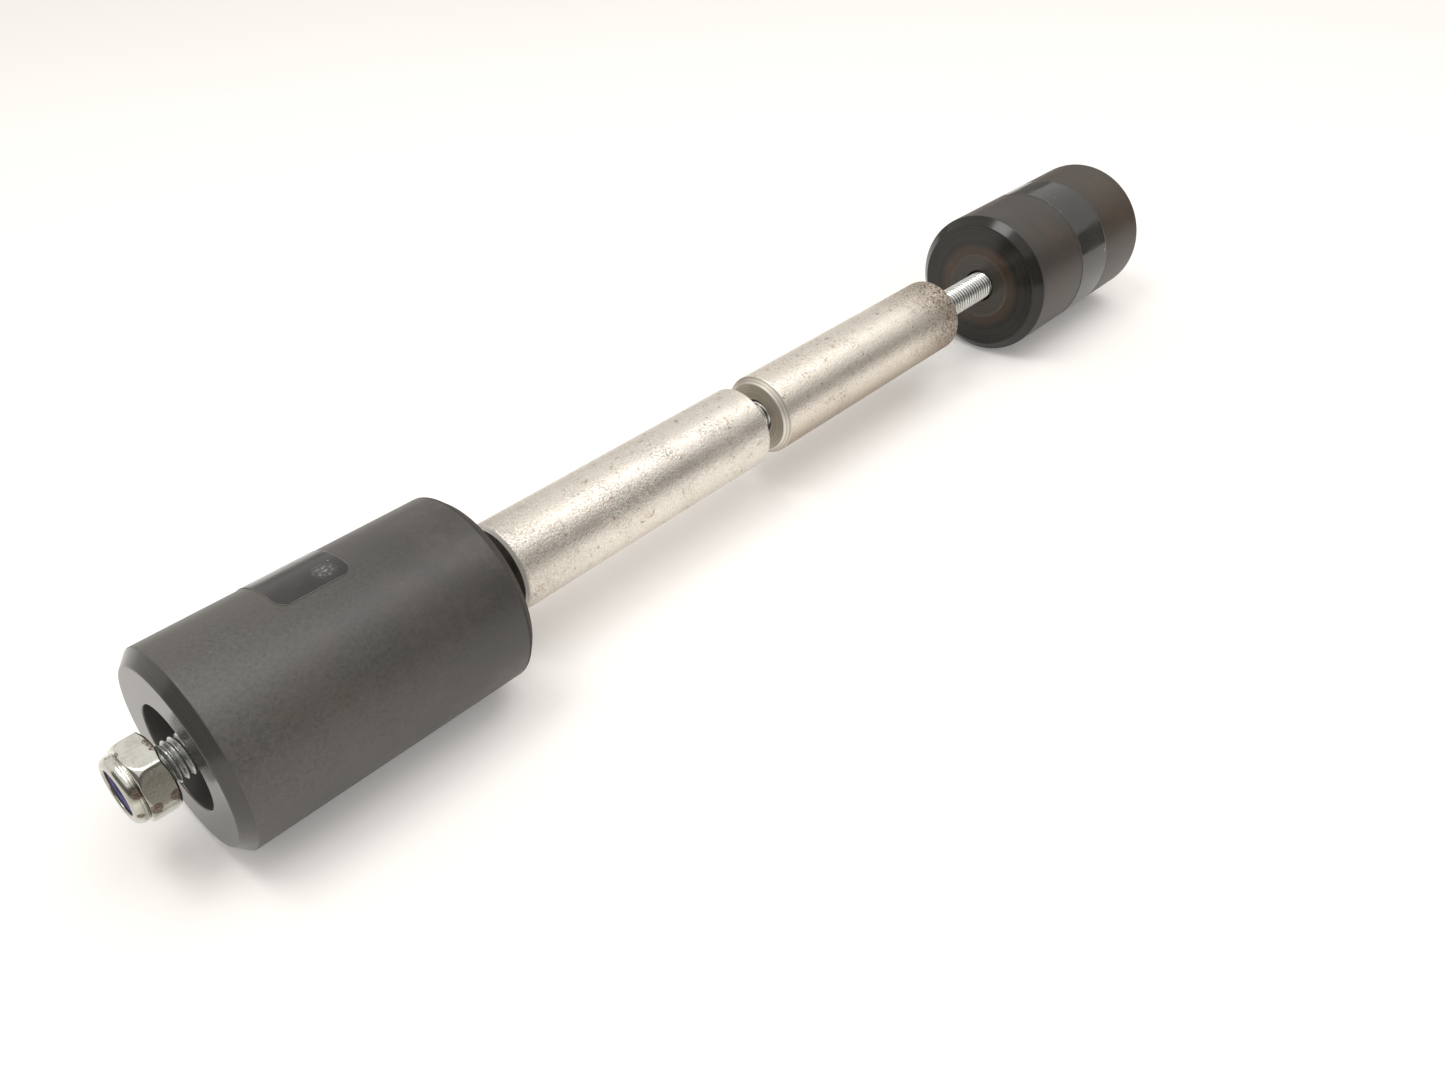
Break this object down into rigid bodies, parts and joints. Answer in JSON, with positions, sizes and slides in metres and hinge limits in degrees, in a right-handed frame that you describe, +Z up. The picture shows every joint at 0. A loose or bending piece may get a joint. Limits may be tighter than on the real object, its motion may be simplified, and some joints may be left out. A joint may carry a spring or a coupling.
{
  "type": "crash protector bobbin set",
  "caption": "Crash protector set: chamfered plastic bobbins and aluminium tube spacers strung on threaded studding between nylon insert lock nuts.",
  "frame": {"origin": "on the surface that the bobbins lie on, under the middle of the part's length", "axes": "+X along the rod from the end with the loose lock nut to the end with the seated one, +Z up"},
  "size_m": [0.3986, 0.051, 0.0505],
  "materials": {
    "rod_zinc": "bright zinc plate",
    "nut_zinc": "satin zinc plate, lightly stained",
    "washer_zinc": "satin zinc plate",
    "insert_nylon": "violet blue nylon",
    "bobbin_plastic": "matte black, turned ends",
    "label_film": "dark glossy film",
    "spacer_aluminium": "plain bar, oxidised, turned ends"
  },
  "bodies": {
    "rod": {"threaded_rod": "rod_zinc"},
    "near_insert": {"near_nut_insert": "insert_nylon"},
    "near_nut": {"near_lock_nut": "nut_zinc"},
    "near_floor_washer": {"near_washer": "washer_zinc"},
    "near_protector": {"near_bobbin": "bobbin_plastic", "near_label": "label_film"},
    "near_tube": {"near_spacer": "spacer_aluminium"},
    "far_tube": {"far_spacer": "spacer_aluminium"},
    "far_floor_washer": {"far_washer": "washer_zinc"},
    "far_protector": {"far_bobbin": "bobbin_plastic", "far_label": "label_film"},
    "far_insert": {"far_nut_insert": "insert_nylon"},
    "far_nut": {"far_lock_nut": "nut_zinc"}
  },
  "joints": [
    {"name": "near_nut_travel", "type": "slide", "parent": "rod", "child": "near_insert", "axis": [1, 0, 0], "range_m": [-0.0061, 0.0151]},
    {"name": "near_nut_turn", "type": "hinge", "parent": "near_insert", "child": "near_nut", "pos_m": [-0.19005, 0, 0.025], "axis": [1, 0, 0], "range_deg": [-1440, 3600]},
    {"name": "near_bobbin_travel", "type": "slide", "parent": "rod", "child": "near_floor_washer", "axis": [1, 0, 0], "range_m": [-0.015, 0.0038]},
    {"name": "near_bobbin_spin", "type": "hinge", "parent": "near_floor_washer", "child": "near_protector", "pos_m": [-0.18645, 0, 0.025], "axis": [1, 0, 0], "continuous": true},
    {"name": "near_spacer_travel", "type": "slide", "parent": "rod", "child": "near_tube", "axis": [1, 0, 0], "range_m": [-0.0038, 0.0031]},
    {"name": "far_spacer_travel", "type": "slide", "parent": "rod", "child": "far_tube", "axis": [1, 0, 0], "range_m": [-0.0031, 0.0152]},
    {"name": "far_bobbin_travel", "type": "slide", "parent": "rod", "child": "far_floor_washer", "axis": [1, 0, 0], "range_m": [-0.0152, 0]},
    {"name": "far_bobbin_spin", "type": "hinge", "parent": "far_floor_washer", "child": "far_protector", "pos_m": [0.19935, 0, 0.025], "axis": [1, 0, 0], "continuous": true},
    {"name": "far_nut_travel", "type": "slide", "parent": "rod", "child": "far_insert", "axis": [1, 0, 0], "range_m": [-0.0001, 0.0106]},
    {"name": "far_nut_turn", "type": "hinge", "parent": "far_insert", "child": "far_nut", "pos_m": [0.17195, 0, 0.025], "axis": [1, 0, 0], "range_deg": [0, 2520]}
  ],
  "couplings": [
    {"joint": "near_nut_travel", "follows": "near_nut_turn", "m_per_rad": 0.00023873},
    {"joint": "far_nut_travel", "follows": "far_nut_turn", "m_per_rad": 0.00023873}
  ]
}
